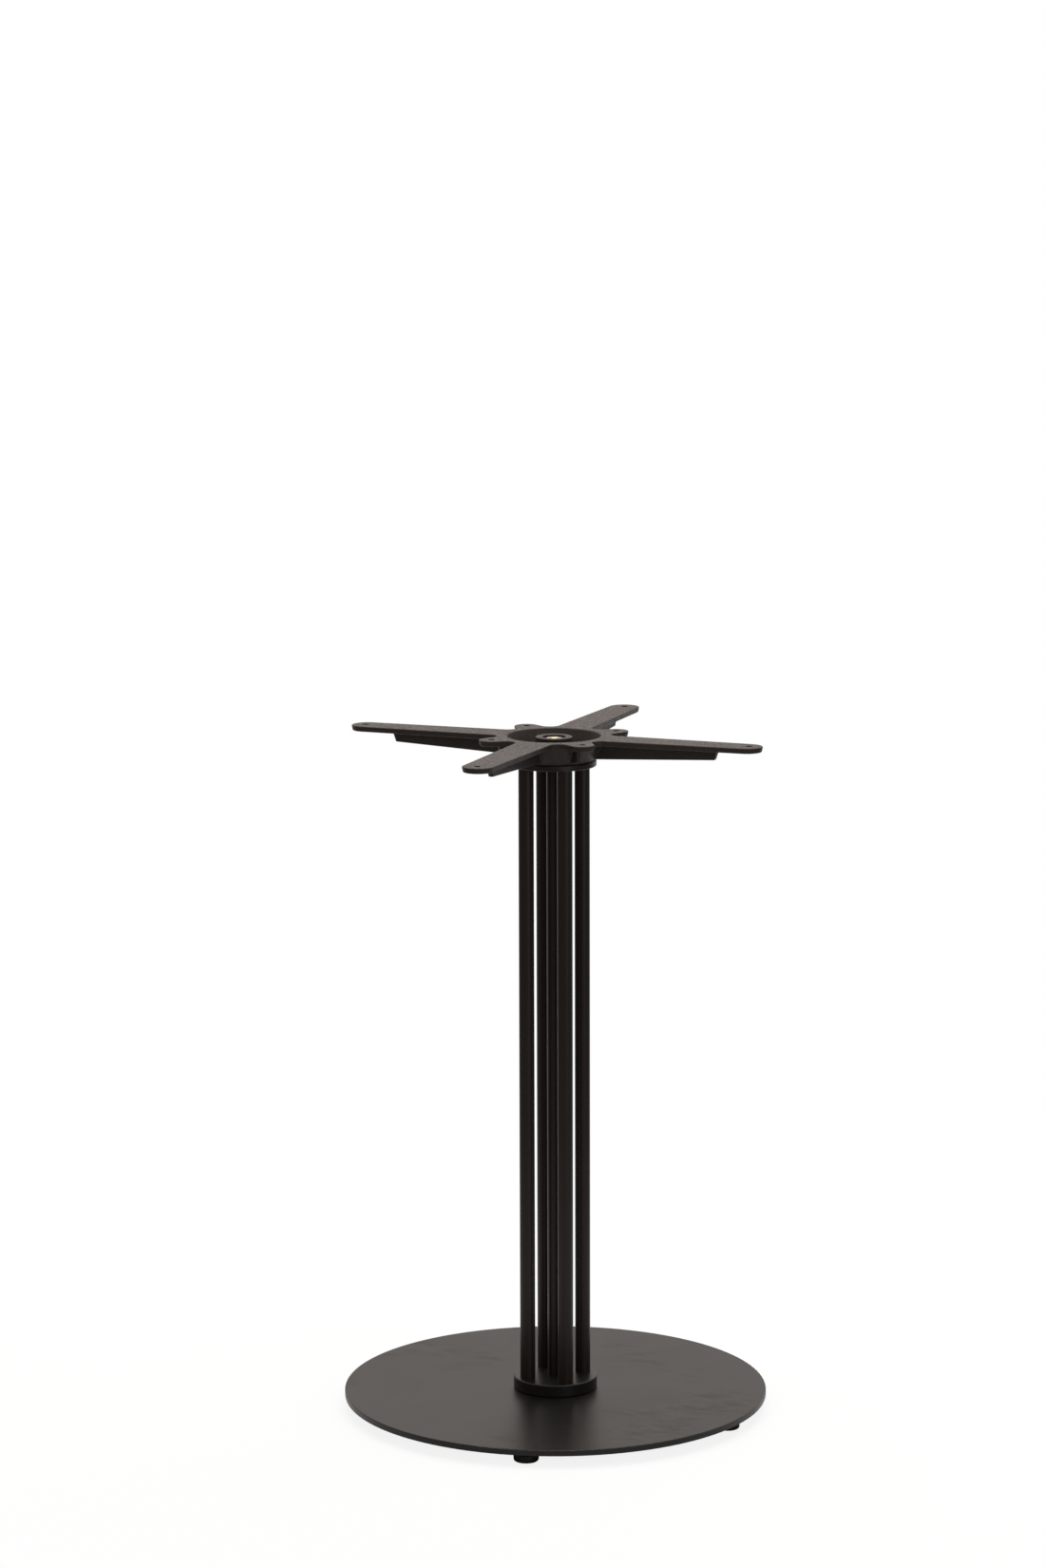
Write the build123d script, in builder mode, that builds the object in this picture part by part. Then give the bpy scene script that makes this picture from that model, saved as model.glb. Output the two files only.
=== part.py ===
from build123d import *
from math import asin, degrees, radians, sqrt, tan
import os

# Round table base: a flat steel disc on levelling feet, a column of five tubes clamped by a tie rod,
# and a cast spider whose arms carry the table top.
# Millimetres. The floor is z = 0, +Z is up, the column stands on the Z axis and the arms lie along X and Y.

# Feet: a round pad with a spanner neck, moulded onto a threaded stud
foot_count = 5
foot_edge_distance = 23.0
foot_first_angle = -77.6
foot_pad_dia = 26.0
foot_pad_height = 8.4
foot_pad_round = 2.6
foot_pad_chamfer = 0.8
foot_neck_flats = 14.0
foot_neck_height = 3.6
foot_stud_dia = 8.0
foot_stud_grip = 8.0
foot_stud_end_gap = 0.4
foot_thread_gap = 0.08

# Base plate
plate_dia = 445.0
plate_thick = 6.5
plate_edge_round = 0.8
plate_skin = 1.5

# Column
tube_count = 4
tube_dia = 16.0
tube_wall = 1.5
tube_circle_radius = 31.0
tube_first_angle = 41.5
tube_clear_length = 652.0
tube_socket_depth = 3.0
tube_socket_gap = 0.1
collar_dia = 88.0
collar_rim_round = 1.2
lower_collar_thick = 13.0
upper_collar_thick = 6.0

# Spider: deck with arms and lugs
arm_count = 4
spider_height = 25.5
deck_thick = 5.8
deck_draft = 12.0
deck_top_round = 1.0
deck_bottom_round = 1.2
arm_hole_square = 300.0
arm_root_width = 41.0
arm_tip_width = 33.0
arm_tip_margin = 14.4
lug_hole_square = 100.0
lug_root_width = 54.0
lug_tip_width = 26.0
notch_round = 9.5
screw_hole_dia = 7.0

# Spider: web under each arm and lug
web_draft = 3.0
web_foot_gap = 2.7
web_edge_round = 1.0
web_root_round = 2.0
arm_web_thick = 6.0
arm_web_end_radius = 179.5
arm_web_end_slope = 18.5
arm_web_tip_depth = 16.2
lug_web_thick = 4.5
lug_web_end_radius = 62.5
lug_web_end_slope = 9.0
lug_web_tip_depth = 20.5

# Spider: cup, bowl and nut boss
cup_top_dia = 107.0
cup_bottom_dia = 85.0
bowl_dia = 98.0
bowl_floor_dia = 83.0
bowl_depth = 19.5
bowl_rim_round = 1.5
bowl_floor_round = 5.0
boss_dia = 38.5
boss_drop = 1.2
boss_edge_round = 1.2
nut_pocket_dia = 24.4
nut_pocket_depth = 11.6

# Tie rod, nuts and washers
rod_dia = 10.0
rod_hole_gap = 0.3
rod_thread_gap = 0.05
rod_stick_out = 0.5
rod_end_chamfer = 1.0
nut_flats = 17.0
nut_cone_angle = 30.0
top_nut_height = 8.0
bottom_nut_height = 5.0
washer_dia = 20.0
washer_thick = 2.0

# Heights of the stack, from the floor up
plate_bottom = foot_pad_height + foot_neck_height
plate_top = plate_bottom + plate_thick
lower_collar_top = plate_top + lower_collar_thick
upper_collar_bottom = lower_collar_top + tube_clear_length
cup_bottom = upper_collar_bottom + upper_collar_thick
deck_top = cup_bottom + spider_height
deck_bottom = deck_top - deck_thick
bowl_floor = deck_top - bowl_depth
boss_top = deck_top - boss_drop
pocket_floor = boss_top - nut_pocket_depth
top_nut_bottom = pocket_floor + washer_thick
rod_top = top_nut_bottom + top_nut_height + rod_stick_out
bottom_nut_bottom = plate_bottom - washer_thick - bottom_nut_height
rod_bottom = bottom_nut_bottom - rod_stick_out

# Sizes that follow from the ones above
arm_hole_radius = arm_hole_square / sqrt(2)
lug_hole_radius = lug_hole_square / sqrt(2)
lug_first_angle = 180 / arm_count
arm_tip_at = arm_hole_radius + arm_tip_margin - arm_tip_width / 2
web_hub_depth = spider_height - web_foot_gap
rod_hole_radius = rod_dia / 2 + rod_hole_gap
tube_bottom = lower_collar_top - tube_socket_depth
tube_length = tube_clear_length + 2 * tube_socket_depth
foot_circle_radius = plate_dia / 2 - foot_edge_distance
foot_hole_depth = plate_thick - plate_skin
foot_stud_bottom = plate_bottom - foot_stud_grip
foot_stud_length = foot_stud_grip + foot_hole_depth - foot_stud_end_gap

os.makedirs("parts", exist_ok=True)


def save(builder, name):
    """Labels a finished piece and writes its STEP file."""
    builder.part.label = name
    export_step(builder.part, f"parts/{name}.step")


def tapered_bar(root_width, tip_width, tip_at):
    """Outline of a flat bar along +X from the axis, narrowing to a round tip centred at tip_at."""
    taper = degrees(asin((root_width - tip_width) / 2 / tip_at))
    corner = Vector(0, root_width / 2).rotate(Axis.Z, -taper)
    with BuildSketch() as bar:
        with BuildLine():
            tip = CenterArc((tip_at, 0), tip_width / 2, taper - 90, 180 - 2 * taper)
            Polyline(tip @ 1, corner, (corner.X, -corner.Y), tip @ 0)
        make_face()
    return bar.sketch


def tube_positions():
    """Places of all five tubes, the four outer ones first."""
    outer = PolarLocations(tube_circle_radius, tube_count, tube_first_angle)
    return [*outer.locations, Location((0, 0))]


def hex_nut(bottom, height):
    """Hexagon nut round the tie rod, with both ends turned to a shallow cone."""
    corner = nut_flats / sqrt(3)
    rise = (corner - nut_flats / 2) * tan(radians(nut_cone_angle))
    with BuildPart() as nut:
        with BuildSketch(Plane.XY.offset(bottom)):
            RegularPolygon(nut_flats / 2, 6, major_radius=False)
            Circle(rod_dia / 2 + rod_thread_gap, mode=Mode.SUBTRACT)
        extrude(amount=height)
        with BuildSketch(Plane.XZ):
            with BuildLine():
                Polyline(
                    (0, bottom),
                    (nut_flats / 2, bottom),
                    (corner, bottom + rise),
                    (corner, bottom + height - rise),
                    (nut_flats / 2, bottom + height),
                    (0, bottom + height),
                    close=True,
                )
            make_face()
        revolve(axis=Axis.Z, mode=Mode.INTERSECT)
    return nut


def washer(bottom):
    """Flat washer round the tie rod."""
    with BuildPart() as ring:
        with BuildSketch(Plane.XY.offset(bottom)):
            Circle(washer_dia / 2)
            Circle(rod_hole_radius, mode=Mode.SUBTRACT)
        extrude(amount=washer_thick)
    return ring


def collar(bottom, thick, socket_bottom):
    """Round disc with softened rims, a rod hole and a shallow socket for each tube."""
    with BuildPart() as disc:
        with BuildSketch(Plane.XY.offset(bottom)):
            Circle(collar_dia / 2)
        extrude(amount=thick)
        fillet(disc.edges().filter_by(GeomType.CIRCLE), collar_rim_round)
        with BuildSketch(Plane.XY.offset(bottom)):
            Circle(rod_hole_radius)
        extrude(amount=thick, mode=Mode.SUBTRACT)
        with BuildSketch(Plane.XY.offset(socket_bottom)):
            with Locations(*tube_positions()):
                Circle(tube_dia / 2 + tube_socket_gap)
        extrude(amount=tube_socket_depth, mode=Mode.SUBTRACT)
    return disc


def web(thick, end_radius, end_slope, tip_depth):
    """Thin drafted rib along +X under the deck, deeper from its sloping end towards the cup."""
    foot_end = end_radius - (tip_depth - deck_thick) * tan(radians(end_slope))
    with BuildPart() as rib:
        with BuildSketch(Plane.XY.offset(deck_bottom)):
            Rectangle(2 * end_radius, thick)
        extrude(amount=deck_thick - spider_height, taper=web_draft)
        with BuildSketch(Plane.XZ):
            with BuildLine():
                Polyline(
                    (0, deck_bottom),
                    (end_radius, deck_bottom),
                    (foot_end, deck_top - tip_depth),
                    (cup_bottom_dia / 2, deck_top - web_hub_depth),
                    (0, deck_top - web_hub_depth),
                    close=True,
                )
            make_face()
        extrude(amount=thick, both=True, mode=Mode.INTERSECT)
        foot = rib.faces().filter_by(lambda face: face.normal_at().Z < -0.9).sort_by(Axis.X)[-1]
        fillet(foot.edges().sort_by(Axis.X)[1:], web_edge_round)
    return rib.part


def level_faces(builder, height):
    """Level faces of a piece at the given height."""
    return builder.faces().filter_by(Plane.XY).filter_by_position(Axis.Z, height - 0.1, height + 0.1)


# Base plate with a rod hole and a blind threaded hole for each foot
with BuildPart() as base_plate:
    with BuildSketch(Plane.XY.offset(plate_bottom)):
        Circle(plate_dia / 2)
    extrude(amount=plate_thick)
    fillet(base_plate.edges().filter_by(GeomType.CIRCLE), plate_edge_round)
    with BuildSketch(Plane.XY.offset(plate_bottom)):
        Circle(rod_hole_radius)
    extrude(amount=plate_thick, mode=Mode.SUBTRACT)
    with BuildSketch(Plane.XY.offset(plate_bottom)):
        with PolarLocations(foot_circle_radius, foot_count, foot_first_angle):
            Circle(foot_stud_dia / 2 + foot_thread_gap)
    extrude(amount=foot_hole_depth, mode=Mode.SUBTRACT)
save(base_plate, "base_plate")

# Collars that hold the tubes at both ends
save(collar(plate_top, lower_collar_thick, tube_bottom), "lower_collar")
save(collar(upper_collar_bottom, upper_collar_thick, upper_collar_bottom), "upper_collar")

# Tubes, seated in the sockets of both collars
tube_names = [f"outer_tube_{number + 1}" for number in range(tube_count)] + ["centre_tube"]
for name, place in zip(tube_names, tube_positions()):
    with BuildPart() as tube:
        with BuildSketch(Plane.XY.offset(tube_bottom)):
            with Locations(place):
                Circle(tube_dia / 2)
                Circle(tube_dia / 2 - tube_wall, mode=Mode.SUBTRACT)
        extrude(amount=tube_length)
    save(tube, name)

# Top spider, cast in one piece
with BuildPart() as top_spider:
    with BuildSketch(Plane.XY.offset(deck_top)) as deck:
        Circle(cup_bottom_dia / 2)
        with PolarLocations(0, arm_count):
            add(tapered_bar(arm_root_width, arm_tip_width, arm_tip_at))
        with PolarLocations(0, arm_count, lug_first_angle):
            add(tapered_bar(lug_root_width, lug_tip_width, lug_hole_radius))
        fillet(deck.vertices().group_by(SortBy.DISTANCE)[0], notch_round)
    extrude(amount=-deck_thick, taper=deck_draft)
    fillet(top_spider.edges().group_by(Axis.Z)[-1], deck_top_round)
    fillet(top_spider.edges().group_by(Axis.Z)[0], deck_bottom_round)
    # Cup that stands on the upper collar
    with BuildSketch(Plane.XZ):
        with BuildLine():
            Polyline(
                (0, cup_bottom),
                (cup_bottom_dia / 2, cup_bottom),
                (cup_top_dia / 2, deck_bottom),
                (0, deck_bottom),
                close=True,
            )
        make_face()
    revolve(axis=Axis.Z)
    # Webs, rounded where they grow out of the deck and the cup
    with PolarLocations(0, arm_count):
        add(web(arm_web_thick, arm_web_end_radius, arm_web_end_slope, arm_web_tip_depth))
    with PolarLocations(0, arm_count, lug_first_angle):
        add(web(lug_web_thick, lug_web_end_radius, lug_web_end_slope, lug_web_tip_depth))
    deck_roots = level_faces(top_spider, deck_bottom).sort_by(SortBy.AREA)[-1].inner_wires().edges()
    cup_wall = top_spider.faces().filter_by(GeomType.CONE).sort_by(SortBy.AREA)[-1]
    plain_edges = (GeomType.CIRCLE, GeomType.LINE)
    cup_roots = cup_wall.edges().filter_by(lambda edge: edge.geom_type not in plain_edges)
    fillet(deck_roots + cup_roots, web_root_round)
    # Bowl sunk into the hub
    with BuildSketch(Plane.XZ):
        with BuildLine():
            bowl_line = Polyline(
                (0, deck_top),
                (bowl_dia / 2, deck_top),
                (bowl_floor_dia / 2, bowl_floor),
                (0, bowl_floor),
                close=True,
            )
            fillet(bowl_line.vertices().sort_by(Axis.X)[-2], bowl_floor_round)
        make_face()
    revolve(axis=Axis.Z, mode=Mode.SUBTRACT)
    fillet(top_spider.faces().sort_by(Axis.Z)[-1].inner_wires().edges(), bowl_rim_round)
    # Boss for the tie rod, with a pocket for its nut
    with BuildSketch(Plane.XY.offset(bowl_floor)):
        Circle(boss_dia / 2)
    extrude(amount=boss_top - bowl_floor)
    with Locations((0, 0, boss_top)):
        CounterBoreHole(rod_hole_radius, nut_pocket_dia / 2, nut_pocket_depth)
    fillet(level_faces(top_spider, boss_top).edges(), boss_edge_round)
    # Screw holes for the table top
    with Locations((0, 0, deck_top)):
        with PolarLocations(arm_hole_radius, arm_count):
            Hole(screw_hole_dia / 2)
        with PolarLocations(lug_hole_radius, arm_count, lug_first_angle):
            Hole(screw_hole_dia / 2)
save(top_spider, "top_spider")

# Tie rod with its nuts and washers
with BuildPart() as tie_rod:
    with BuildSketch(Plane.XY.offset(rod_bottom)):
        Circle(rod_dia / 2)
    extrude(amount=rod_top - rod_bottom)
    chamfer(tie_rod.edges().filter_by(GeomType.CIRCLE), rod_end_chamfer)
save(tie_rod, "tie_rod")
save(washer(pocket_floor), "top_washer")
save(hex_nut(top_nut_bottom, top_nut_height), "top_nut")
save(washer(plate_bottom - washer_thick), "bottom_washer")
save(hex_nut(bottom_nut_bottom, bottom_nut_height), "bottom_nut")

# Levelling feet
foot_places = PolarLocations(foot_circle_radius, foot_count, foot_first_angle).locations
for number, place in enumerate(foot_places, 1):
    with BuildPart() as foot_stud:
        with BuildSketch(Plane.XY.offset(foot_stud_bottom)):
            with Locations(place):
                Circle(foot_stud_dia / 2)
        extrude(amount=foot_stud_length)
    save(foot_stud, f"foot_stud_{number}")
    with BuildPart() as foot_pad:
        with BuildSketch():
            with Locations(place):
                Circle(foot_pad_dia / 2)
        extrude(amount=foot_pad_height)
        fillet(foot_pad.edges().sort_by(Axis.Z)[0], foot_pad_round)
        chamfer(foot_pad.edges().sort_by(Axis.Z)[-1], foot_pad_chamfer)
        with BuildSketch(Plane.XY.offset(foot_pad_height)):
            with Locations(place):
                RegularPolygon(foot_neck_flats / 2, 6, major_radius=False)
        extrude(amount=foot_neck_height)
        with BuildSketch(Plane.XY.offset(foot_stud_bottom)):
            with Locations(place):
                Circle(foot_stud_dia / 2 + foot_thread_gap)
        extrude(amount=foot_stud_grip, mode=Mode.SUBTRACT)
    save(foot_pad, f"foot_pad_{number}")
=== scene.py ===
from math import cos, pi, radians, sin, tan

import bpy
import numpy as np
from mathutils import Matrix, Vector


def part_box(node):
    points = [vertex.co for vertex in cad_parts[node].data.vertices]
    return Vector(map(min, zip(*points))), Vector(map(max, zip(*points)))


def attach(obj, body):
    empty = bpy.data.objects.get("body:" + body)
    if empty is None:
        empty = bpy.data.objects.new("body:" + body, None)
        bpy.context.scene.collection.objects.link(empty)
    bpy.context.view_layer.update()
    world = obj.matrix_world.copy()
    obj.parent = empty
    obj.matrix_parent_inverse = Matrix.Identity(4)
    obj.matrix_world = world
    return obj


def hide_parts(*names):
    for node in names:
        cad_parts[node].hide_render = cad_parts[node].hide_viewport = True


bl_info = {
    "name": "Round Table Base",
    "version": (1, 0, 0),
    "blender": (4, 5, 0),
    "location": "3D View > Sidebar > Table Base",
    "description": "Coats a packed pedestal table base, builds its fasteners and feet, and sets the stage",
    "category": "Object",
}

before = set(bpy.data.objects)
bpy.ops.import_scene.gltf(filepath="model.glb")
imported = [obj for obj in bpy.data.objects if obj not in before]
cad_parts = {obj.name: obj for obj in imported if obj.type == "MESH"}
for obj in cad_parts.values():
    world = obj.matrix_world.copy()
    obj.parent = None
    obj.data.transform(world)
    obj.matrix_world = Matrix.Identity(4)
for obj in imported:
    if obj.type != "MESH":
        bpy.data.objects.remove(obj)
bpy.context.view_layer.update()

COATED_NODES = ("base_plate", "lower_collar")
TUBE_NODES = ("outer_tube_1", "outer_tube_2", "outer_tube_3", "outer_tube_4", "centre_tube", "upper_collar")
FOOT_NUMBERS = range(1, 6)

# Sizes of the part's feet, and clearances and chamfers of the fasteners, in metres
NECK_FLATS = 0.014
NECK_HEIGHT = 0.0036
ROD_CHAMFER = 0.001
STUD_CHAMFER = 0.0008
NUT_CLEARANCE = 0.00005
WASHER_CLEARANCE = 0.0003
PAD_CLEARANCE = 0.00008

# Depth of a rolled thread, as a share of its pitch
THREAD_DEPTH = 0.61


# Settings


class TableBaseFinishes(bpy.types.PropertyGroup):
    """Colours and grain of the finishes."""

    plate_colour: bpy.props.FloatVectorProperty(
        name="Plate coat", description="Smooth powder coat on the disc and its collar",
        subtype="COLOR", size=3, min=0.0, max=1.0, default=(0.0024, 0.0019, 0.0017))
    tube_colour: bpy.props.FloatVectorProperty(
        name="Tube coat", description="Powder coat on the tubes and the upper collar",
        subtype="COLOR", size=3, min=0.0, max=1.0, default=(0.0088, 0.0050, 0.0037))
    cast_colour: bpy.props.FloatVectorProperty(
        name="Casting", description="Powder coat on the grainy cast spider",
        subtype="COLOR", size=3, min=0.0, max=1.0, default=(0.0150, 0.0098, 0.0076))
    zinc_colour: bpy.props.FloatVectorProperty(
        name="Bright zinc", description="Plating on nuts, washers and foot studs",
        subtype="COLOR", size=3, min=0.0, max=1.0, default=(0.66, 0.67, 0.69))
    yellow_colour: bpy.props.FloatVectorProperty(
        name="Yellow zinc", description="Passivated plating on the tie rod",
        subtype="COLOR", size=3, min=0.0, max=1.0, default=(0.68, 0.53, 0.28))
    plastic_colour: bpy.props.FloatVectorProperty(
        name="Foot plastic", description="Moulded pads of the levelling feet",
        subtype="COLOR", size=3, min=0.0, max=1.0, default=(0.0032, 0.0026, 0.0024))
    peel_size: bpy.props.FloatProperty(
        name="Peel size", description="Width of one bump of the powder coat's orange peel",
        subtype="DISTANCE", unit="LENGTH", min=0.0002, max=0.01, default=0.0011)
    cast_grain_size: bpy.props.FloatProperty(
        name="Cast grain", description="Width of one grain of the sand casting",
        subtype="DISTANCE", unit="LENGTH", min=0.0002, max=0.01, default=0.0020)


class TableBaseSizes(bpy.types.PropertyGroup):
    """Sizes of the details that the scene adds."""

    rod_pitch: bpy.props.FloatProperty(
        name="Rod pitch", description="Thread pitch of the tie rod",
        subtype="DISTANCE", unit="LENGTH", min=0.0003, max=0.005, default=0.0015)
    stud_pitch: bpy.props.FloatProperty(
        name="Stud pitch", description="Thread pitch of the foot studs",
        subtype="DISTANCE", unit="LENGTH", min=0.0003, max=0.005, default=0.00125)
    rod_thread_length: bpy.props.FloatProperty(
        name="Rod thread", description="Length of thread cut on each end of the tie rod",
        subtype="DISTANCE", unit="LENGTH", min=0.01, max=0.1, default=0.030)
    edge_round: bpy.props.FloatProperty(
        name="Fastener edge", description="Radius of a washer's worn edges",
        subtype="DISTANCE", unit="LENGTH", min=0.0001, max=0.001, default=0.0004)


class TableBaseStage(bpy.types.PropertyGroup):
    """Camera, floor and light."""

    camera_turn: bpy.props.FloatProperty(
        name="Camera turn", description="Angle of the camera round the base, from the front",
        subtype="ANGLE", unit="ROTATION", default=radians(21.0))
    camera_distance: bpy.props.FloatProperty(
        name="Camera distance", description="Level distance from the column to the camera",
        subtype="DISTANCE", unit="LENGTH", min=1.0, max=20.0, default=4.683)
    camera_height: bpy.props.FloatProperty(
        name="Camera height", description="Height of the camera above the floor",
        subtype="DISTANCE", unit="LENGTH", min=0.0, max=10.0, default=1.4531)
    camera_pitch: bpy.props.FloatProperty(
        name="Camera pitch", description="How far the camera looks down",
        subtype="ANGLE", unit="ROTATION", default=radians(9.566))
    camera_yaw: bpy.props.FloatProperty(
        name="Camera yaw", description="How far the camera looks past the column, to the right",
        subtype="ANGLE", unit="ROTATION", default=radians(-0.4006))
    camera_roll: bpy.props.FloatProperty(
        name="Camera roll", description="Tilt of the picture",
        subtype="ANGLE", unit="ROTATION", default=radians(0.186))
    camera_lens: bpy.props.FloatProperty(
        name="Lens", description="Focal length in millimetres for a 36 mm long side",
        min=10.0, max=400.0, default=105.38)
    floor_colour: bpy.props.FloatVectorProperty(
        name="Floor", description="Colour of the floor",
        subtype="COLOR", size=3, min=0.0, max=1.0, default=(0.9, 0.9, 0.9))
    floor_radius: bpy.props.FloatProperty(
        name="Floor radius", description="Radius of the round floor",
        subtype="DISTANCE", unit="LENGTH", min=1.0, max=200.0, default=60.0)
    sky_colour: bpy.props.FloatVectorProperty(
        name="Sky", description="Colour of the light that comes from all round",
        subtype="COLOR", size=3, min=0.0, max=1.0, default=(1.0, 0.91, 0.85))
    sky_level: bpy.props.FloatProperty(
        name="Sky level", description="Brightness of the light that comes from all round",
        min=0.0, max=2.0, default=0.55)
    horizon_level: bpy.props.FloatProperty(
        name="Horizon level",
        description="Brightness of the far floor and the horizon, as reflections show them",
        min=0.0, max=1.0, default=0.22)
    top_light_power: bpy.props.FloatProperty(
        name="Top light", description="Power of the softbox above the base",
        subtype="POWER", unit="POWER", min=0.0, max=1000.0, default=60.0)
    side_light_power: bpy.props.FloatProperty(
        name="Side light", description="Power of the softbox at the camera's right",
        subtype="POWER", unit="POWER", min=0.0, max=1000.0, default=13.0)


# Surfaces worked out with numpy


def put_mesh(name, points, faces, smooth_angle=radians(35)):
    """Makes an object from points (n, 3) and a list of face arrays.

    It is smooth except at edges sharper than smooth_angle.
    """
    mesh = bpy.data.meshes.new(name)
    mesh.from_pydata(points.tolist(), [], [row for block in faces for row in block.tolist()])
    mesh.validate()
    mesh.shade_smooth()
    mesh.set_sharp_from_angle(angle=smooth_angle)
    piece = bpy.data.objects.new(name, mesh)
    bpy.context.scene.collection.objects.link(piece)
    return piece


def ring_faces(rows, columns, closed_rows):
    """Quads of a grid whose columns close on themselves: row i, column j joins row i + 1, column j + 1."""
    last = rows if closed_rows else rows - 1
    i, j = np.meshgrid(np.arange(last), np.arange(columns), indexing="ij")
    next_i, next_j = (i + 1) % rows, (j + 1) % columns
    corners = (i * columns + j, i * columns + next_j, next_i * columns + next_j, next_i * columns + j)
    return np.stack(corners, axis=-1).reshape(-1, 4)


def turned_piece(name, radius, height, centre, closed):
    """Surface of radius[i, j] at height[i, j] and turn 2 pi j / n about an upright axis through centre.

    Rows run along the profile and columns round the axis. A closed profile joins its last row to its first,
    and an open one gets a middle point at both ends, so that it is capped.
    """
    rows, columns = radius.shape
    turn = 2 * pi * np.arange(columns) / columns
    x = centre[0] + radius * np.cos(turn)
    y = centre[1] + radius * np.sin(turn)
    points = np.stack([x, y, np.broadcast_to(height, radius.shape)], axis=-1).reshape(-1, 3)
    faces = [ring_faces(rows, columns, closed)]
    if not closed:
        ends = np.array([[centre[0], centre[1], height[0].mean()], [centre[0], centre[1], height[-1].mean()]])
        first = np.arange(columns)
        second = (first + 1) % columns
        low = np.full(columns, rows * columns)
        faces.append(np.stack([low, second, first], axis=-1))
        top_row = (rows - 1) * columns
        faces.append(np.stack([low + 1, top_row + first, top_row + second], axis=-1))
        points = np.vstack([points, ends])
    return put_mesh(name, points, faces)


def hexagon_radius(flats, columns):
    """Radius of a hexagon over the turn.

    It is half the flats over the cosine of the angle from the middle of the nearest flat.
    """
    turn = 2 * pi * np.arange(columns) / columns
    from_flat = (turn % (pi / 3)) - pi / 6
    return flats / 2 / np.cos(from_flat)


def threaded_rod(name, centre, low, high, radius, pitch, depth, thread_spans, chamfer, columns=48):
    """Round rod with a rolled thread: radius less depth times a wave of height / pitch - turn / 2 pi.

    The wave is a raised cosine, stretched by gain, lowered by flat and clipped, so that crests and roots are
    flat. It runs only inside thread_spans. Both ends are chamfered.
    """
    gain, flat, rows_per_pitch = 1.35, 0.15, 10
    heights = [np.array([low, low + chamfer / 2])]
    heights += [np.arange(start, stop, pitch / rows_per_pitch) for start, stop in thread_spans]
    heights.append(np.array([high - chamfer / 2, high]))
    z = np.unique(np.clip(np.concatenate(heights), low, high))[:, None]
    turn = np.arange(columns)[None, :] / columns
    wave = 0.5 - 0.5 * np.cos(2 * pi * (z / pitch - turn))
    wave = np.clip(gain * wave - flat, 0, 1)
    threaded = np.zeros(z.shape, dtype=bool)
    for start, stop in thread_spans:
        threaded |= (z >= start) & (z <= stop)
    cut = np.minimum(np.minimum(z - low, high - z) - chamfer, 0)
    r = np.minimum(radius - depth * wave * threaded, radius + cut)
    return turned_piece(name, r, np.broadcast_to(z, r.shape), centre, closed=False)


def hexagon_nut(name, centre, low, high, flats, bore, columns=96):
    """Hexagon nut: a closed profile whose outer rows follow the hexagon and whose ends fall away.

    At each end the face is level out to level_share of the flats. Beyond that it drops by the distance times
    the tangent of fall_angle. The corners are broken, and the bore's mouth is countersunk.
    """
    level_share, fall_angle, corner, sink_share = 0.47, radians(30), 0.00015, 0.09
    outer = hexagon_radius(flats, columns)
    level = np.full(columns, level_share * flats)
    sink = sink_share * bore
    fall = (outer - level) * tan(fall_angle)
    ones = np.ones(columns)
    mouth = (bore + sink) * ones
    rows_r = [bore * ones, bore * ones, mouth, level, outer - corner, outer, outer, outer - corner, level,
              mouth]
    rows_z = [(low + sink) * ones, (high - sink) * ones, high * ones, high * ones, high - fall,
              high - fall - corner, low + fall + corner, low + fall, low * ones, low * ones]
    return turned_piece(name, np.array(rows_r)[::-1], np.array(rows_z)[::-1], centre, closed=True)


def washer_ring(name, centre, low, high, inner, outer, edge, columns=96):
    """Flat ring whose section is a rectangle with quarter-round corners of radius edge."""
    quarter = np.linspace(0, pi / 2, 5)
    corners = [(outer - edge, low + edge, -pi / 2), (outer - edge, high - edge, 0.0),
               (inner + edge, high - edge, pi / 2), (inner + edge, low + edge, pi)]
    r = np.concatenate([x + edge * np.cos(quarter + start) for x, _, start in corners])
    z = np.concatenate([y + edge * np.sin(quarter + start) for _, y, start in corners])
    rows_r, rows_z = [np.broadcast_to(row[:, None], (len(r), columns)) for row in (r, z)]
    return turned_piece(name, rows_r, rows_z, centre, closed=True)


def foot_pad(name, centre, height, radius, neck_flats, neck_height, bore, bore_bottom, columns=96):
    """Moulded glide: a closed profile from the bore over the hexagon neck, down the round flank and under it.

    Each row has a radius, a height and a share of hexagon. For a share of 1 the radius is multiplied by the
    hexagon's radius over half its flats. The sole is dished inside a level rim.
    """
    neck_edge, neck_root, root_share = 0.0006, 0.0005, 0.6
    shoulder, shoulder_rise, sole_round = 0.0012, 0.0003, 0.0026
    rim, dish, dish_slope = 0.002, 0.0003, 0.0006
    pad_top = height - neck_height
    neck = neck_flats / 2
    hole = bore / 2
    rim_inside = radius - sole_round - rim
    above = np.array([
        (bore, bore_bottom, 0), (bore, height, 0),
        (neck - neck_edge, height, 1), (neck, height - neck_edge, 1),
        (neck, pad_top + neck_root, 1), (neck + neck_root, pad_top, root_share),
        (radius - shoulder, pad_top, 0), (radius - shoulder_rise, pad_top - shoulder_rise, 0),
        (radius, pad_top - shoulder, 0)])
    lean = np.linspace(0, pi / 2, 8)
    flank = np.stack([radius - sole_round + sole_round * np.cos(lean), sole_round - sole_round * np.sin(lean),
                      np.zeros_like(lean)], axis=-1)
    below = np.array([(rim_inside, 0, 0), (rim_inside - dish_slope, dish, 0), (hole, dish, 0),
                      (hole, bore_bottom, 0)])
    round_r, z, share = np.vstack([above, flank, below]).T[:, :, None]
    six = round_r * (hexagon_radius(neck_flats, columns) / neck)[None, :]
    rows_r = (1 - share) * round_r + share * six
    rows_z = np.broadcast_to(z, rows_r.shape)
    return turned_piece(name, rows_r[::-1], rows_z[::-1], centre, closed=True)


# Shader groups and materials


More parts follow.
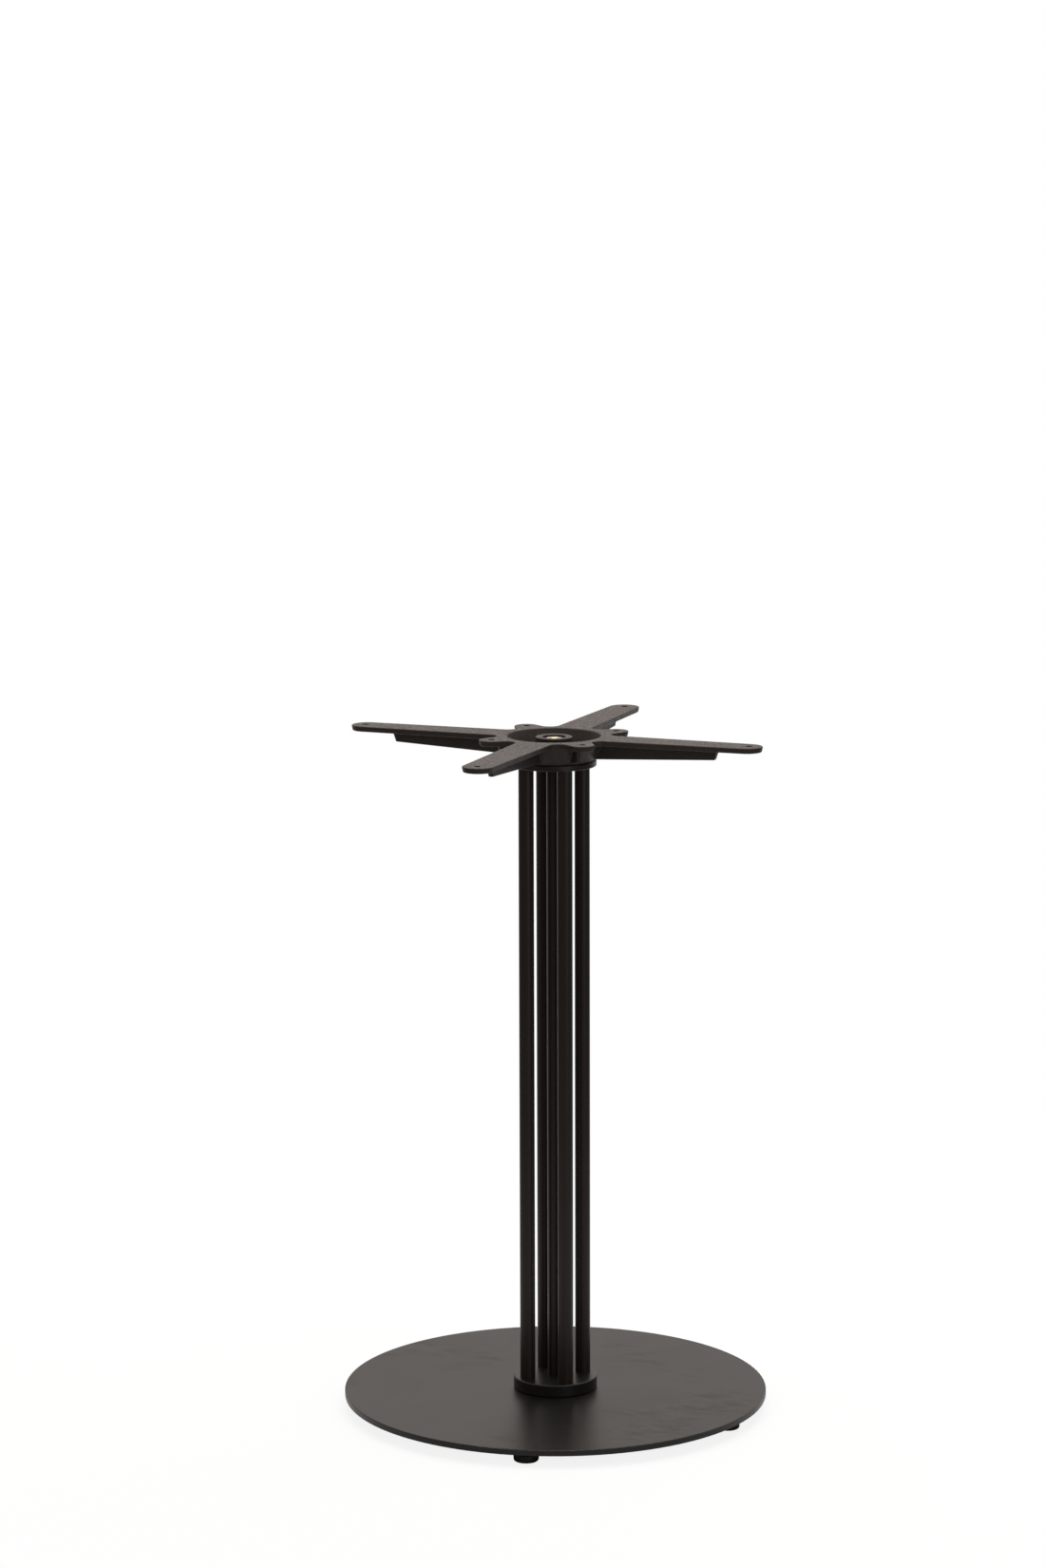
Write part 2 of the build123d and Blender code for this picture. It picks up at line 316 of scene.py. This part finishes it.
def new_group(name, inputs, outputs):
    """Shader node group with float or vector inputs (name, kind, default) and outputs (name, kind)."""
    group = bpy.data.node_groups.new(name, "ShaderNodeTree")
    for label, kind, default in inputs:
        socket = group.interface.new_socket(label, in_out="INPUT", socket_type=kind)
        if default is not None:
            socket.default_value = default
    for label, kind in outputs:
        group.interface.new_socket(label, in_out="OUTPUT", socket_type=kind)
    return group, group.nodes.new("NodeGroupInput"), group.nodes.new("NodeGroupOutput")


def math_node(tree, operation, first, second):
    """Math node whose inputs are sockets or numbers. Returns its output."""
    node = tree.nodes.new("ShaderNodeMath")
    node.operation = operation
    for socket, value in zip(node.inputs, (first, second)):
        if isinstance(value, bpy.types.NodeSocket):
            tree.links.new(value, socket)
        else:
            socket.default_value = value
    return node.outputs[0]


def noise_node(tree, vector, scale, detail, roughness=0.5):
    """Noise texture on a vector socket at a scale that is a socket or a number. Returns its value output."""
    node = tree.nodes.new("ShaderNodeTexNoise")
    tree.links.new(vector, node.inputs["Vector"])
    if isinstance(scale, bpy.types.NodeSocket):
        tree.links.new(scale, node.inputs["Scale"])
    else:
        node.inputs["Scale"].default_value = scale
    node.inputs["Detail"].default_value = detail
    node.inputs["Roughness"].default_value = roughness
    return node.outputs[0]


def range_node(tree, value, low, high, to_low, to_high):
    """Map Range node from low..high to to_low..to_high, clamped. Returns its output."""
    node = tree.nodes.new("ShaderNodeMapRange")
    tree.links.new(value, node.inputs["Value"])
    for label, number in (("From Min", low), ("From Max", high), ("To Min", to_low), ("To Max", to_high)):
        if isinstance(number, bpy.types.NodeSocket):
            tree.links.new(number, node.inputs[label])
        else:
            node.inputs[label].default_value = number
    return node.outputs[0]


def coat_grain_group():
    """Orange peel of a powder coat: soft bumps with a finer speckle, as a height, and a broad mottling."""
    name = "Coat grain"
    fine_ratio, mottle_scale = 3.1, 14.0
    if name in bpy.data.node_groups:
        return bpy.data.node_groups[name]
    group, given, result = new_group(
        name,
        [("Vector", "NodeSocketVector", None), ("Scale", "NodeSocketFloat", 900.0),
         ("Speckle", "NodeSocketFloat", 0.4)],
        [("Height", "NodeSocketFloat"), ("Mottle", "NodeSocketFloat")])
    vector = given.outputs["Vector"]
    fine_scale = math_node(group, "MULTIPLY", given.outputs["Scale"], fine_ratio)
    peel = noise_node(group, vector, given.outputs["Scale"], detail=2.0)
    fine = noise_node(group, vector, fine_scale, detail=3.0, roughness=0.6)
    height = math_node(group, "ADD", peel, math_node(group, "MULTIPLY", fine, given.outputs["Speckle"]))
    broad = noise_node(group, vector, mottle_scale, detail=4.0, roughness=0.55)
    group.links.new(height, result.inputs["Height"])
    group.links.new(broad, result.inputs["Mottle"])
    return group


def finger_mark_group():
    """Finger marks: short smears, stretched one way, inside broad patches beyond Reach from the origin."""
    name = "Finger marks"
    smear_turn, smear_stretch, smear_scale, smear_band = radians(35), 2.2, 38.0, (0.44, 0.74)
    patch_scale, patch_band, fade = 9.0, (0.52, 0.66), 0.04
    if name in bpy.data.node_groups:
        return bpy.data.node_groups[name]
    group, given, result = new_group(
        name,
        [("Vector", "NodeSocketVector", None), ("Reach", "NodeSocketFloat", 0.0)],
        [("Mask", "NodeSocketFloat")])
    stretch = group.nodes.new("ShaderNodeMapping")
    stretch.inputs["Rotation"].default_value = (0.0, 0.0, smear_turn)
    stretch.inputs["Scale"].default_value = (1.0, smear_stretch, 1.0)
    group.links.new(given.outputs["Vector"], stretch.inputs["Vector"])
    streaks = noise_node(group, stretch.outputs["Vector"], smear_scale, detail=4.0, roughness=0.62)
    smear = range_node(group, streaks, *smear_band, 0.0, 1.0)
    patches = noise_node(group, given.outputs["Vector"], patch_scale, detail=1.0)
    patch = range_node(group, patches, *patch_band, 0.0, 1.0)
    away = group.nodes.new("ShaderNodeVectorMath")
    away.operation = "LENGTH"
    group.links.new(given.outputs["Vector"], away.inputs[0])
    beyond = math_node(group, "SUBTRACT", away.outputs["Value"], given.outputs["Reach"])
    handled = math_node(group, "MULTIPLY", patch, range_node(group, beyond, 0.0, fade, 0.0, 1.0))
    group.links.new(math_node(group, "MULTIPLY", smear, handled), result.inputs["Mask"])
    return group


def new_material(name):
    """Node material with one Principled BSDF. Returns the material, its tree and the shader."""
    material = bpy.data.materials.new(name)
    material.use_nodes = True
    tree = material.node_tree
    shader = next(node for node in tree.nodes if node.type == "BSDF_PRINCIPLED")
    return material, tree, shader


def object_coordinates(tree):
    """Object coordinates of the piece, which are the frame's own metres."""
    return tree.nodes.new("ShaderNodeTexCoord").outputs["Object"]


def bump_into(tree, shader, height, distance):
    """Bump of a height socket, scaled to distance in metres, into the shader's normal."""
    bump = tree.nodes.new("ShaderNodeBump")
    bump.inputs["Strength"].default_value = 1.0
    bump.inputs["Distance"].default_value = distance
    tree.links.new(height, bump.inputs["Height"])
    tree.links.new(bump.outputs["Normal"], shader.inputs["Normal"])


def tinted(tree, colour, mottle, spread):
    """Base colour that lightens and darkens by spread with the mottling value. Returns its colour output."""
    mix = tree.nodes.new("ShaderNodeMix")
    mix.data_type = "RGBA"
    mix.inputs["A"].default_value = (*[c * (1 - spread) for c in colour], 1)
    mix.inputs["B"].default_value = (*[c * (1 + spread) for c in colour], 1)
    tree.links.new(mottle, mix.inputs["Factor"])
    return mix.outputs["Result"]


def powder_material(name, colour, grain_size, bump_height, speckle, roughness, ior, spread, marks, pitting,
                    reach=0.0):
    """Powder coat: its grain drives height, roughness and a slight change of colour. Finger marks dull it.

    Spread is how far the colour changes, marks how much rougher a finger mark is, and pitting how much
    rougher the hollows of the grain are than its tops. The marks lie beyond reach from the origin.
    """
    if name in bpy.data.materials:
        return bpy.data.materials[name]
    mottle_band, mottle_change, hollow_half = (0.3, 0.7), 0.012, 0.25
    material, tree, shader = new_material(name)
    grain = tree.nodes.new("ShaderNodeGroup")
    grain.node_tree = coat_grain_group()
    grain.inputs["Scale"].default_value = 1 / grain_size
    grain.inputs["Speckle"].default_value = speckle
    touched = tree.nodes.new("ShaderNodeGroup")
    touched.node_tree = finger_mark_group()
    touched.inputs["Reach"].default_value = reach
    place = object_coordinates(tree)
    tree.links.new(place, grain.inputs["Vector"])
    tree.links.new(place, touched.inputs["Vector"])
    tree.links.new(tinted(tree, colour, grain.outputs["Mottle"], spread), shader.inputs["Base Color"])
    rough = range_node(tree, grain.outputs["Mottle"], *mottle_band,
                       roughness - mottle_change, roughness + mottle_change)
    dulled = math_node(tree, "MULTIPLY", touched.outputs["Mask"], marks)
    mean_height = 0.5 + 0.5 * speckle
    hollow = range_node(tree, grain.outputs["Height"], mean_height - hollow_half, mean_height + hollow_half,
                        pitting / 2, -pitting / 2)
    worn = math_node(tree, "ADD", rough, math_node(tree, "ADD", dulled, hollow))
    tree.links.new(worn, shader.inputs["Roughness"])
    bump_into(tree, shader, grain.outputs["Height"], bump_height)
    shader.inputs["IOR"].default_value = ior
    return material


def plate_material():
    """Smooth satin coat of the disc and its collar."""
    finish = bpy.context.scene.table_base_finishes
    return powder_material(
        "Smooth black coat", finish.plate_colour, finish.peel_size, bump_height=0.000012, speckle=0.35,
        roughness=0.37, ior=1.328, spread=0.25, marks=0.1, pitting=0.04, reach=0.09)


def tube_material():
    """Slightly warmer satin coat of the tubes and the upper collar."""
    finish = bpy.context.scene.table_base_finishes
    return powder_material(
        "Satin black coat", finish.tube_colour, finish.peel_size, bump_height=0.000010, speckle=0.35,
        roughness=0.34, ior=1.32, spread=0.25, marks=0.04, pitting=0.02)


def cast_material():
    """The same coat over the grainy skin of the sand casting."""
    finish = bpy.context.scene.table_base_finishes
    return powder_material(
        "Black cast skin", finish.cast_colour, finish.cast_grain_size, bump_height=0.00042, speckle=0.7,
        roughness=0.46, ior=1.325, spread=0.55, marks=0.04, pitting=0.42)


def plated_material(name, colour, roughness):
    """Plated steel with fine drawn scratches: squeezed noise varies colour, roughness and height."""
    if name in bpy.data.materials:
        return bpy.data.materials[name]
    squeeze, scratch_scale, scratch_band, shinier, duller = 6.0, 700.0, (0.25, 0.75), 0.07, 0.09
    material, tree, shader = new_material(name)
    mapping = tree.nodes.new("ShaderNodeMapping")
    mapping.inputs["Scale"].default_value = (1.0, 1.0, squeeze)
    tree.links.new(object_coordinates(tree), mapping.inputs["Vector"])
    scratch = noise_node(tree, mapping.outputs["Vector"], scratch_scale, detail=3.0, roughness=0.6)
    tree.links.new(tinted(tree, colour, scratch, spread=0.12), shader.inputs["Base Color"])
    rough = range_node(tree, scratch, *scratch_band, roughness - shinier, roughness + duller)
    tree.links.new(rough, shader.inputs["Roughness"])
    bump_into(tree, shader, scratch, distance=0.000004)
    shader.inputs["Metallic"].default_value = 1.0
    return material


def zinc_material():
    """Bright zinc of nuts, washers and studs."""
    return plated_material("Bright zinc", bpy.context.scene.table_base_finishes.zinc_colour, roughness=0.27)


def yellow_material():
    """Yellow-passivated zinc of the tie rod."""
    return plated_material("Yellow zinc", bpy.context.scene.table_base_finishes.yellow_colour, roughness=0.30)


def plastic_material():
    """Matte moulded plastic of the foot pads, with the coat group as its fine texture."""
    finish = bpy.context.scene.table_base_finishes
    return powder_material(
        "Black foot plastic", finish.plastic_colour, grain_size=0.0007, bump_height=0.00002, speckle=0.5,
        roughness=0.5, ior=1.25, spread=0.2, marks=0.03, pitting=0.06)


def towards_backdrop(tree, vector, stage):
    """1 where the vector points to the backdrop behind the base, 0 where it points sideways or forwards.

    It is the share of the vector along the backdrop's fixed direction, faded in over backdrop_band.
    """
    backdrop_band = (0.5, 0.85)
    unit = tree.nodes.new("ShaderNodeVectorMath")
    unit.operation = "NORMALIZE"
    tree.links.new(vector, unit.inputs[0])
    lean = tree.nodes.new("ShaderNodeVectorMath")
    lean.operation = "DOT_PRODUCT"
    lean.inputs[1].default_value = (-sin(stage.camera_turn), cos(stage.camera_turn), 0.0)
    tree.links.new(unit.outputs["Vector"], lean.inputs[0])
    return range_node(tree, lean.outputs["Value"], *backdrop_band, 0.0, 1.0)


def seen_ray(tree):
    """1 for camera rays, reflections and rays through glass, 0 for the rays that light a surface."""
    path = tree.nodes.new("ShaderNodeLightPath")
    glossy = math_node(tree, "MAXIMUM", path.outputs["Is Camera Ray"], path.outputs["Is Glossy Ray"])
    return math_node(tree, "MAXIMUM", glossy, path.outputs["Is Transmission Ray"])


# Dressing pieces


def dress_node(node, material):
    """Gives a node of the frame its finish."""
    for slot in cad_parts[node].material_slots:
        slot.material = material


def dress_piece(piece, material, node, body):
    """Gives a new piece its finish, puts it in a node's place and lets it ride on a body."""
    piece.data.materials.append(material)
    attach(piece, body)
    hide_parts(node)


def middle_of(node):
    """Plan position, lowest and highest level and half width of an upright node."""
    low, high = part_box(node)
    return ((low.x + high.x) / 2, (low.y + high.y) / 2), low.z, high.z, (high.x - low.x) / 2


# Operators


class TABLEBASE_OT_coated_steel(bpy.types.Operator):
    """Coat the disc and the collar that stands on it"""

    bl_idname = "table_base.coated_steel"
    bl_label = "Coat Disc and Collar"

    def execute(self, context):
        for node in COATED_NODES:
            dress_node(node, plate_material())
        return {"FINISHED"}


class TABLEBASE_OT_tubes(bpy.types.Operator):
    """Coat the five tubes of the column and the collar on top of them"""

    bl_idname = "table_base.tubes"
    bl_label = "Coat Tubes"

    def execute(self, context):
        for node in TUBE_NODES:
            dress_node(node, tube_material())
        return {"FINISHED"}


class TABLEBASE_OT_spider(bpy.types.Operator):
    """Give the cast spider its grainy black skin"""

    bl_idname = "table_base.spider"
    bl_label = "Finish Spider"

    def execute(self, context):
        dress_node("top_spider", cast_material())
        return {"FINISHED"}


class TABLEBASE_OT_tie_rod(bpy.types.Operator):
    """Cut threads on the tie rod and plate it"""

    bl_idname = "table_base.tie_rod"
    bl_label = "Build Tie Rod"

    def execute(self, context):
        sizes = context.scene.table_base_sizes
        centre, low, high, radius = middle_of("tie_rod")
        spans = [(low, low + sizes.rod_thread_length), (high - sizes.rod_thread_length, high)]
        rod = threaded_rod("threaded_tie_rod", centre, low, high, radius, sizes.rod_pitch,
                           THREAD_DEPTH * sizes.rod_pitch, spans, ROD_CHAMFER)
        dress_piece(rod, yellow_material(), "tie_rod", "stand")
        return {"FINISHED"}


class TABLEBASE_OT_fasteners(bpy.types.Operator):
    """Build the nuts and washers at both ends of the tie rod"""

    bl_idname = "table_base.fasteners"
    bl_label = "Build Nuts and Washers"

    def execute(self, context):
        sizes = context.scene.table_base_sizes
        rod_radius = middle_of("tie_rod")[3]
        for end in ("top", "bottom"):
            node = f"{end}_nut"
            low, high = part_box(node)
            nut = hexagon_nut(f"plated_{node}", (0.0, 0.0), low.z, high.z, high.y - low.y,
                              rod_radius + NUT_CLEARANCE)
            dress_piece(nut, zinc_material(), node, "stand")
            node = f"{end}_washer"
            centre, bottom, top, outer = middle_of(node)
            ring = washer_ring(f"plated_{node}", centre, bottom, top, rod_radius + WASHER_CLEARANCE, outer,
                               sizes.edge_round)
            dress_piece(ring, zinc_material(), node, "stand")
        return {"FINISHED"}


class TABLEBASE_OT_feet(bpy.types.Operator):
    """Build the five levelling feet, each a moulded pad on a threaded stud"""

    bl_idname = "table_base.feet"
    bl_label = "Build Levelling Feet"

    def execute(self, context):
        sizes = context.scene.table_base_sizes
        for number in FOOT_NUMBERS:
            body = f"foot_{number}"
            centre, bottom, top, radius = middle_of(f"foot_stud_{number}")
            stud = threaded_rod(f"threaded_stud_{number}", centre, bottom, top, radius, sizes.stud_pitch,
                                THREAD_DEPTH * sizes.stud_pitch, [(bottom, top)], STUD_CHAMFER)
            dress_piece(stud, zinc_material(), f"foot_stud_{number}", body)
            pad_centre, _, pad_top, pad_radius = middle_of(f"foot_pad_{number}")
            pad = foot_pad(f"moulded_pad_{number}", pad_centre, pad_top, pad_radius, NECK_FLATS, NECK_HEIGHT,
                           radius + PAD_CLEARANCE, bottom)
            dress_piece(pad, plastic_material(), f"foot_pad_{number}", body)
        return {"FINISHED"}


class TABLEBASE_OT_stage(bpy.types.Operator):
    """Set the floor, the light and the camera"""

    bl_idname = "table_base.stage"
    bl_label = "Set Stage"

    def execute(self, context):
        stage = context.scene.table_base_stage
        self.place_camera(context, stage)
        self.lay_floor(stage)
        self.light_sky(context, stage)
        self.hang_softboxes(context, stage)
        context.scene.view_settings.view_transform = "Standard"
        return {"FINISHED"}

    def place_camera(self, context, stage):
        """Camera whose axes come from yaw, then pitch, then roll, all turned round the column."""
        pitch, yaw, roll = stage.camera_pitch, stage.camera_yaw, stage.camera_roll
        forward = Vector((sin(yaw) * cos(pitch), cos(yaw) * cos(pitch), -sin(pitch)))
        right = Vector((cos(yaw), -sin(yaw), 0.0))
        down = forward.cross(right)
        rolled_right = cos(roll) * right + sin(roll) * down
        rolled_up = sin(roll) * right - cos(roll) * down
        axes = Matrix((rolled_right, rolled_up, -forward)).transposed().to_4x4()
        place = Matrix.Translation((0.0, -stage.camera_distance, stage.camera_height))
        data = bpy.data.cameras.new("photo_camera")
        data.lens = stage.camera_lens
        data.sensor_width = 36.0
        data.clip_end = 200.0
        camera = bpy.data.objects.new("photo_camera", data)
        camera.matrix_world = Matrix.Rotation(stage.camera_turn, 4, "Z") @ place @ axes
        context.scene.collection.objects.link(camera)
        context.scene.camera = camera

    def lay_floor(self, stage):
        """Round floor, white to the camera but for part of the base's shadow.

        Reflections show its real shade near the base, white behind the base and a dim floor in front.
        """
        columns = 96
        lit_range, mirror_range, shadow_range, shadow_cover = (0.4, 1.2), (0.25, 0.8), (0.45, 1.1), 0.86
        turn = 2 * pi * np.arange(columns) / columns
        x, y = stage.floor_radius * np.cos(turn), stage.floor_radius * np.sin(turn)
        rim = np.stack([x, y, np.zeros(columns)], axis=-1)
        floor = put_mesh("studio_floor", rim, [np.arange(columns)[None, :]])
        material, tree, shader = new_material("Pale floor")
        shader.inputs["Base Color"].default_value = (*stage.floor_colour, 1)
        shader.inputs["Roughness"].default_value = 0.9
        shader.inputs["IOR"].default_value = 1.0
        place = object_coordinates(tree)
        away = tree.nodes.new("ShaderNodeVectorMath")
        away.operation = "LENGTH"
        tree.links.new(place, away.inputs[0])
        distance = away.outputs["Value"]
        path = tree.nodes.new("ShaderNodeLightPath")
        direct = path.outputs["Is Camera Ray"]
        near = range_node(tree, distance, *lit_range, 1.0, 0.0)
        lit = math_node(tree, "MAXIMUM", near, towards_backdrop(tree, place, stage))
        white = tree.nodes.new("ShaderNodeEmission")
        level = range_node(tree, math_node(tree, "MAXIMUM", direct, lit), 0.0, 1.0, stage.horizon_level, 1.0)
        tree.links.new(level, white.inputs["Strength"])
        mirror_cover = range_node(tree, distance, *mirror_range, 0.0, 1.0)
        camera_cover = range_node(tree, distance, *shadow_range, shadow_cover, 1.0)
        cover = range_node(tree, direct, 0.0, 1.0, mirror_cover, camera_cover)
        mix = tree.nodes.new("ShaderNodeMixShader")
        tree.links.new(math_node(tree, "MULTIPLY", seen_ray(tree), cover), mix.inputs["Fac"])
        tree.links.new(shader.outputs["BSDF"], mix.inputs[1])
        tree.links.new(white.outputs["Emission"], mix.inputs[2])
        output = next(node for node in tree.nodes if node.type == "OUTPUT_MATERIAL")
        tree.links.new(mix.outputs["Shader"], output.inputs["Surface"])
        floor.data.materials.append(material)

    def light_sky(self, context, stage):
        """World that lights evenly from all round, white to the camera.

        Reflections show it white above and behind the base, and dim near the horizon elsewhere.
        """
        horizon_band = (0.05, 0.3)
        world = bpy.data.worlds.new("Studio sky")
        world.use_nodes = True
        tree = world.node_tree
        light = next(node for node in tree.nodes if node.type == "BACKGROUND")
        light.inputs["Color"].default_value = (*stage.sky_colour, 1)
        path = tree.nodes.new("ShaderNodeLightPath")
        parts = tree.nodes.new("ShaderNodeSeparateXYZ")
        direction = tree.nodes.new("ShaderNodeTexCoord").outputs["Generated"]
        tree.links.new(direction, parts.inputs["Vector"])
        above = range_node(tree, parts.outputs["Z"], *horizon_band, 0.0, 1.0)
        lit = math_node(tree, "MAXIMUM", above, towards_backdrop(tree, direction, stage))
        mirrored = range_node(tree, lit, 0.0, 1.0, stage.horizon_level, 1.0)
        level = range_node(tree, seen_ray(tree), 0.0, 1.0, stage.sky_level, mirrored)
        tree.links.new(level, light.inputs["Strength"])
        white = tree.nodes.new("ShaderNodeBackground")
        white.inputs["Color"].default_value = (1, 1, 1, 1)
        mix = tree.nodes.new("ShaderNodeMixShader")
        tree.links.new(path.outputs["Is Camera Ray"], mix.inputs["Fac"])
        tree.links.new(light.outputs["Background"], mix.inputs[1])
        tree.links.new(white.outputs["Background"], mix.inputs[2])
        output = next(node for node in tree.nodes if node.type == "OUTPUT_WORLD")
        tree.links.new(mix.outputs["Shader"], output.inputs["Surface"])
        context.scene.world = world

    def hang_softboxes(self, context, stage):
        """A wide softbox above the base and a tall one at the camera's right, turned to the column."""
        top_size, top_place, top_aim = (2.4, 2.4), (0.0, 0.6, 2.6), (0.0, 0.6, 0.0)
        side_size, side_distance, side_height, side_aim = (1.5, 2.0), 3.2, 1.0, (0.0, 0.0, 0.6)
        side_turn = stage.camera_turn - pi / 2 + radians(33)
        side_place = (side_distance * cos(side_turn), side_distance * sin(side_turn), side_height)
        boxes = (("top_softbox", stage.top_light_power, top_size, top_place, top_aim),
                 ("side_softbox", stage.side_light_power, side_size, side_place, side_aim))
        for name, power, size, place, aim in boxes:
            data = bpy.data.lights.new(name, "AREA")
            data.shape = "RECTANGLE"
            data.size, data.size_y = size
            data.energy = power
            box = bpy.data.objects.new(name, data)
            box.location = place
            box.rotation_euler = (Vector(aim) - Vector(place)).to_track_quat("-Z", "Y").to_euler()
            context.scene.collection.objects.link(box)


class TABLEBASE_PT_panel(bpy.types.Panel):
    """Settings and steps of the table base"""

    bl_idname = "TABLEBASE_PT_panel"
    bl_label = "Round Table Base"
    bl_space_type = "VIEW_3D"
    bl_region_type = "UI"
    bl_category = "Table Base"

    def draw(self, context):
        scene = context.scene
        for group in (scene.table_base_finishes, scene.table_base_sizes, scene.table_base_stage):
            column = self.layout.column()
            for name in group.__annotations__:
                column.prop(group, name)
        for operator in OPERATORS:
            self.layout.operator(operator.bl_idname)


OPERATORS = (
    TABLEBASE_OT_coated_steel,
    TABLEBASE_OT_tubes,
    TABLEBASE_OT_spider,
    TABLEBASE_OT_tie_rod,
    TABLEBASE_OT_fasteners,
    TABLEBASE_OT_feet,
    TABLEBASE_OT_stage,
)
CLASSES = (TableBaseFinishes, TableBaseSizes, TableBaseStage, *OPERATORS, TABLEBASE_PT_panel)


def register():
    for cls in CLASSES:
        bpy.utils.register_class(cls)
    bpy.types.Scene.table_base_finishes = bpy.props.PointerProperty(type=TableBaseFinishes)
    bpy.types.Scene.table_base_sizes = bpy.props.PointerProperty(type=TableBaseSizes)
    bpy.types.Scene.table_base_stage = bpy.props.PointerProperty(type=TableBaseStage)


def unregister():
    del bpy.types.Scene.table_base_stage
    del bpy.types.Scene.table_base_sizes
    del bpy.types.Scene.table_base_finishes
    for cls in reversed(CLASSES):
        bpy.utils.unregister_class(cls)


def main():
    register()
    bpy.ops.table_base.coated_steel()
    bpy.ops.table_base.tubes()
    bpy.ops.table_base.spider()
    bpy.ops.table_base.tie_rod()
    bpy.ops.table_base.fasteners()
    bpy.ops.table_base.feet()
    bpy.ops.table_base.stage()


if __name__ == "__main__":
    main()
